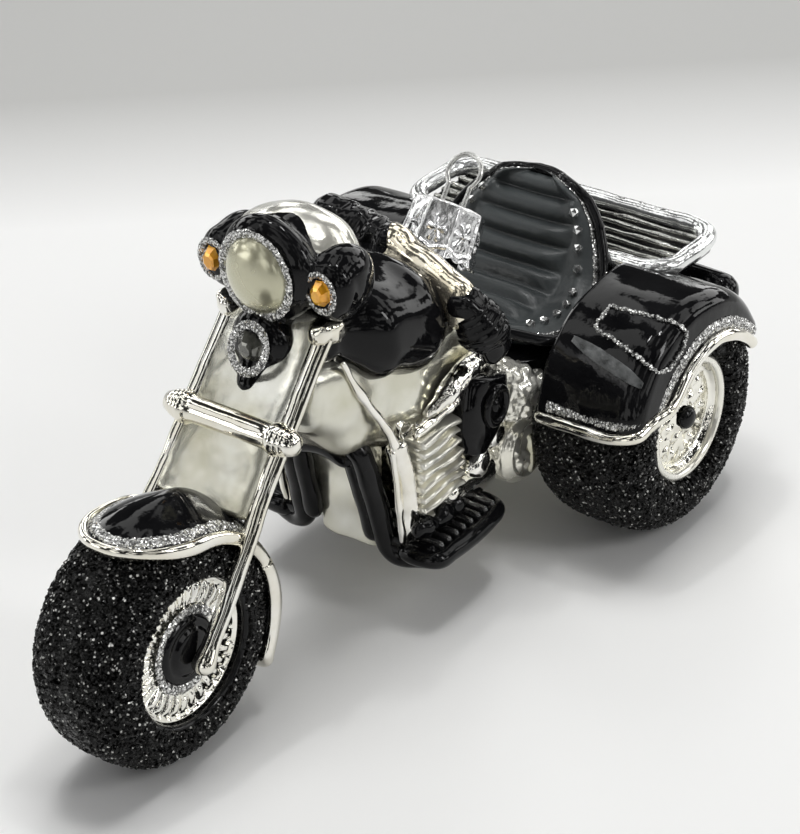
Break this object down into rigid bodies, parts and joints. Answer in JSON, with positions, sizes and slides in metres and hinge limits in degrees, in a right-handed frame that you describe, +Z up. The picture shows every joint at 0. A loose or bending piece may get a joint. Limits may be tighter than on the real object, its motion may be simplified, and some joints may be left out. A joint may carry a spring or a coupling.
{
  "type": "blown glass motor trike ornament",
  "caption": "Hanging glass ornament in the form of a motor trike, stands on its wheels; its metal cap slips off the neck and carries a wire loop for a hook.",
  "frame": {"origin": "bottom centre of the overall box, on the surface the wheels stand on", "axes": "the front wheel points along -Y, the trike's left side is +X, +Z is up"},
  "size_m": [0.0776, 0.1404, 0.0748],
  "materials": {
    "black_glass": "black gloss lacquer on blown glass",
    "black_matt": "satin black lacquer on blown glass",
    "black_glitter": "coarse black glitter on blown glass",
    "silvered_glass": "bright silvered blown glass",
    "satin_silver": "pearly satin silver lacquer on blown glass",
    "silver_rack": "silver lacquer with glitter",
    "amber_gem": "faceted amber crystal",
    "dark_gem": "faceted dark crystal",
    "clear_gem": "small clear crystals",
    "lens": "pearl ivory lacquer on silvered glass",
    "cap_metal": "bright stamped sheet",
    "loop_wire": "bright spring wire"
  },
  "bodies": {
    "glass": {"front_tyre": "black_glitter", "rear_tyre_left": "black_glitter", "rear_tyre_right": "black_glitter", "front_rim": "silvered_glass", "rear_rims": "silvered_glass", "front_hub": "black_glass", "rear_hubs": "black_glass", "front_fender": "black_glass", "front_fender_edge": "silvered_glass", "fork_legs": "silvered_glass", "fork_clamp": "satin_silver", "fork_panel": "satin_silver", "headlamp_shell": "black_glass", "headlamp_top": "silvered_glass", "headlamp_lens": "lens", "signal_pods": "black_glass", "signal_gems": "amber_gem", "horn_housing": "black_glass", "horn_gem": "dark_gem", "handlebar": "silvered_glass", "lever": "silvered_glass", "grip_left": "black_glass", "grip_right": "black_glass", "tank": "black_glass", "neck": "black_glass", "spine": "satin_silver", "front_panel": "satin_silver", "downtubes": "silvered_glass", "guard_bars": "black_glass", "footboards": "black_glass", "pedals": "black_glass", "engine_block": "silvered_glass", "cylinders": "silvered_glass", "air_cleaners": "black_glass", "drive_covers": "silvered_glass", "crank_cases": "silvered_glass", "seat": "black_matt", "seat_piping": "black_glass", "seat_crystals": "clear_gem", "rear_body": "black_glass", "fender_left": "black_glass", "fender_right": "black_glass", "fender_edges": "silvered_glass", "rack_frame": "silver_rack", "rack_slats": "silver_rack", "tail_lamps": "black_glass", "axle_body": "satin_silver"},
    "cap": {"cap": "cap_metal"},
    "loop": {"loop": "loop_wire"}
  },
  "joints": [
    {"name": "cap_slide", "type": "slide", "parent": "glass", "child": "cap", "axis": [0, 0.6428, 0.766], "range_m": [0, 0.012]},
    {"name": "loop_slide", "type": "slide", "parent": "cap", "child": "loop", "axis": [0, 0.6428, 0.766], "range_m": [0, 0.002]}
  ]
}
